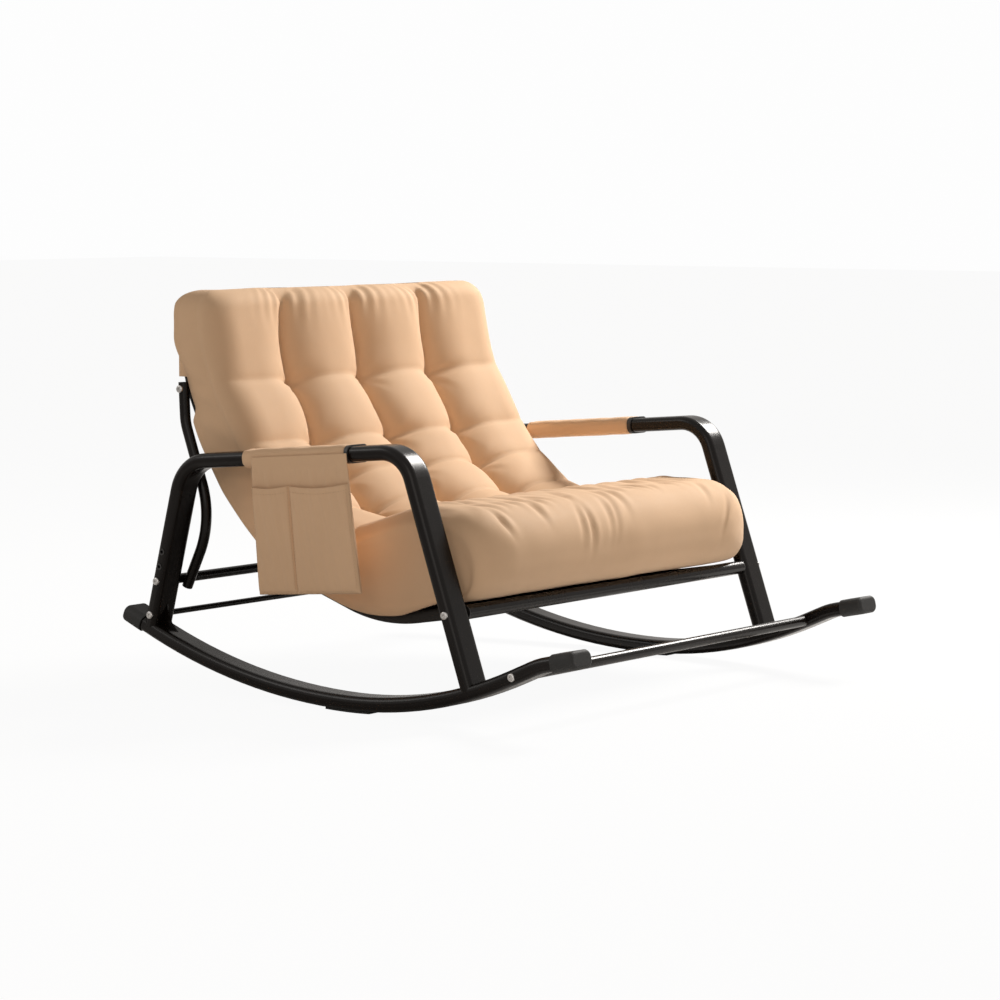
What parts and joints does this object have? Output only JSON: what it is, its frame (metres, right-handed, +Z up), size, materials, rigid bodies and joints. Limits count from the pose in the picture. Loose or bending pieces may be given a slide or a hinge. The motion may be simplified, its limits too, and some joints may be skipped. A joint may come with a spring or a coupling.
{
  "type": "rocking lounge chair",
  "caption": "Wide rocking lounge chair: a tufted mattress cushion on a sling frame that reclines between oval-tube side frames on curved runners, with a side pocket.",
  "frame": {"origin": "on the floor, in the chair's middle plane, midway between the ends of the runners' caps, under the place where the runners are lowest give or take 26 mm", "axes": "+Z up; the chair faces -Y; the sitter's right hand is at -X, the side with the pocket"},
  "size_m": [1.0916, 1.1648, 0.814],
  "materials": {
    "frame_paint": "satin",
    "cushion_cloth": "matte",
    "sling_cloth": "matte",
    "black_rubber": "matte",
    "black_plastic": "satin",
    "bolt_steel": "brushed"
  },
  "bodies": {
    "base": {"runner_right": "frame_paint", "runner_left": "frame_paint", "runner_rear_caps": "black_rubber", "runner_front_caps": "black_rubber", "anti_slip_pads": "black_rubber", "side_frame_right": "frame_paint", "side_frame_left": "frame_paint", "rear_foot_gussets": "frame_paint", "front_stretcher": "frame_paint", "stretcher_inserts": "black_plastic", "stretcher_bolts": "bolt_steel", "lower_rear_rod": "frame_paint", "lower_rod_bolts": "bolt_steel", "adjuster_bolts": "bolt_steel", "adjuster_grommets": "black_plastic", "arm_pad_right": "cushion_cloth", "arm_pad_left": "cushion_cloth", "arm_pad_rings": "black_plastic", "pocket_back_panel": "cushion_cloth", "pocket_front_panel": "cushion_cloth"},
    "seat": {"front_cross_tube": "frame_paint", "cross_tube_inserts": "black_plastic", "pivot_washers": "black_plastic", "pivot_bolts": "bolt_steel", "seat_rail_right": "frame_paint", "seat_rail_left": "frame_paint", "back_top_rail": "frame_paint", "rail_top_plugs": "black_plastic", "sling_cloth": "sling_cloth", "cushion_hood": "cushion_cloth", "seat_cushion": "cushion_cloth", "hinge_spacers": "black_plastic", "hinge_bolts": "bolt_steel", "hinge_nuts": "bolt_steel"},
    "support": {"support_tube_right": "frame_paint", "support_tube_left": "frame_paint", "support_crossbar": "frame_paint", "crossbar_inserts": "black_plastic"}
  },
  "joints": [
    {"name": "seat_recline", "type": "hinge", "parent": "base", "child": "seat", "pos_m": [0, -0.28, 0.212], "axis": [1, 0, 0], "range_deg": [0, 4.77]},
    {"name": "support_swing", "type": "hinge", "parent": "seat", "child": "support", "pos_m": [0, 0.46778, 0.612], "axis": [1, 0, 0], "range_deg": [-1.95, 0]}
  ],
  "couplings": [
    {"joint": "support_swing", "follows": "seat_recline", "ratio": -0.40655}
  ]
}
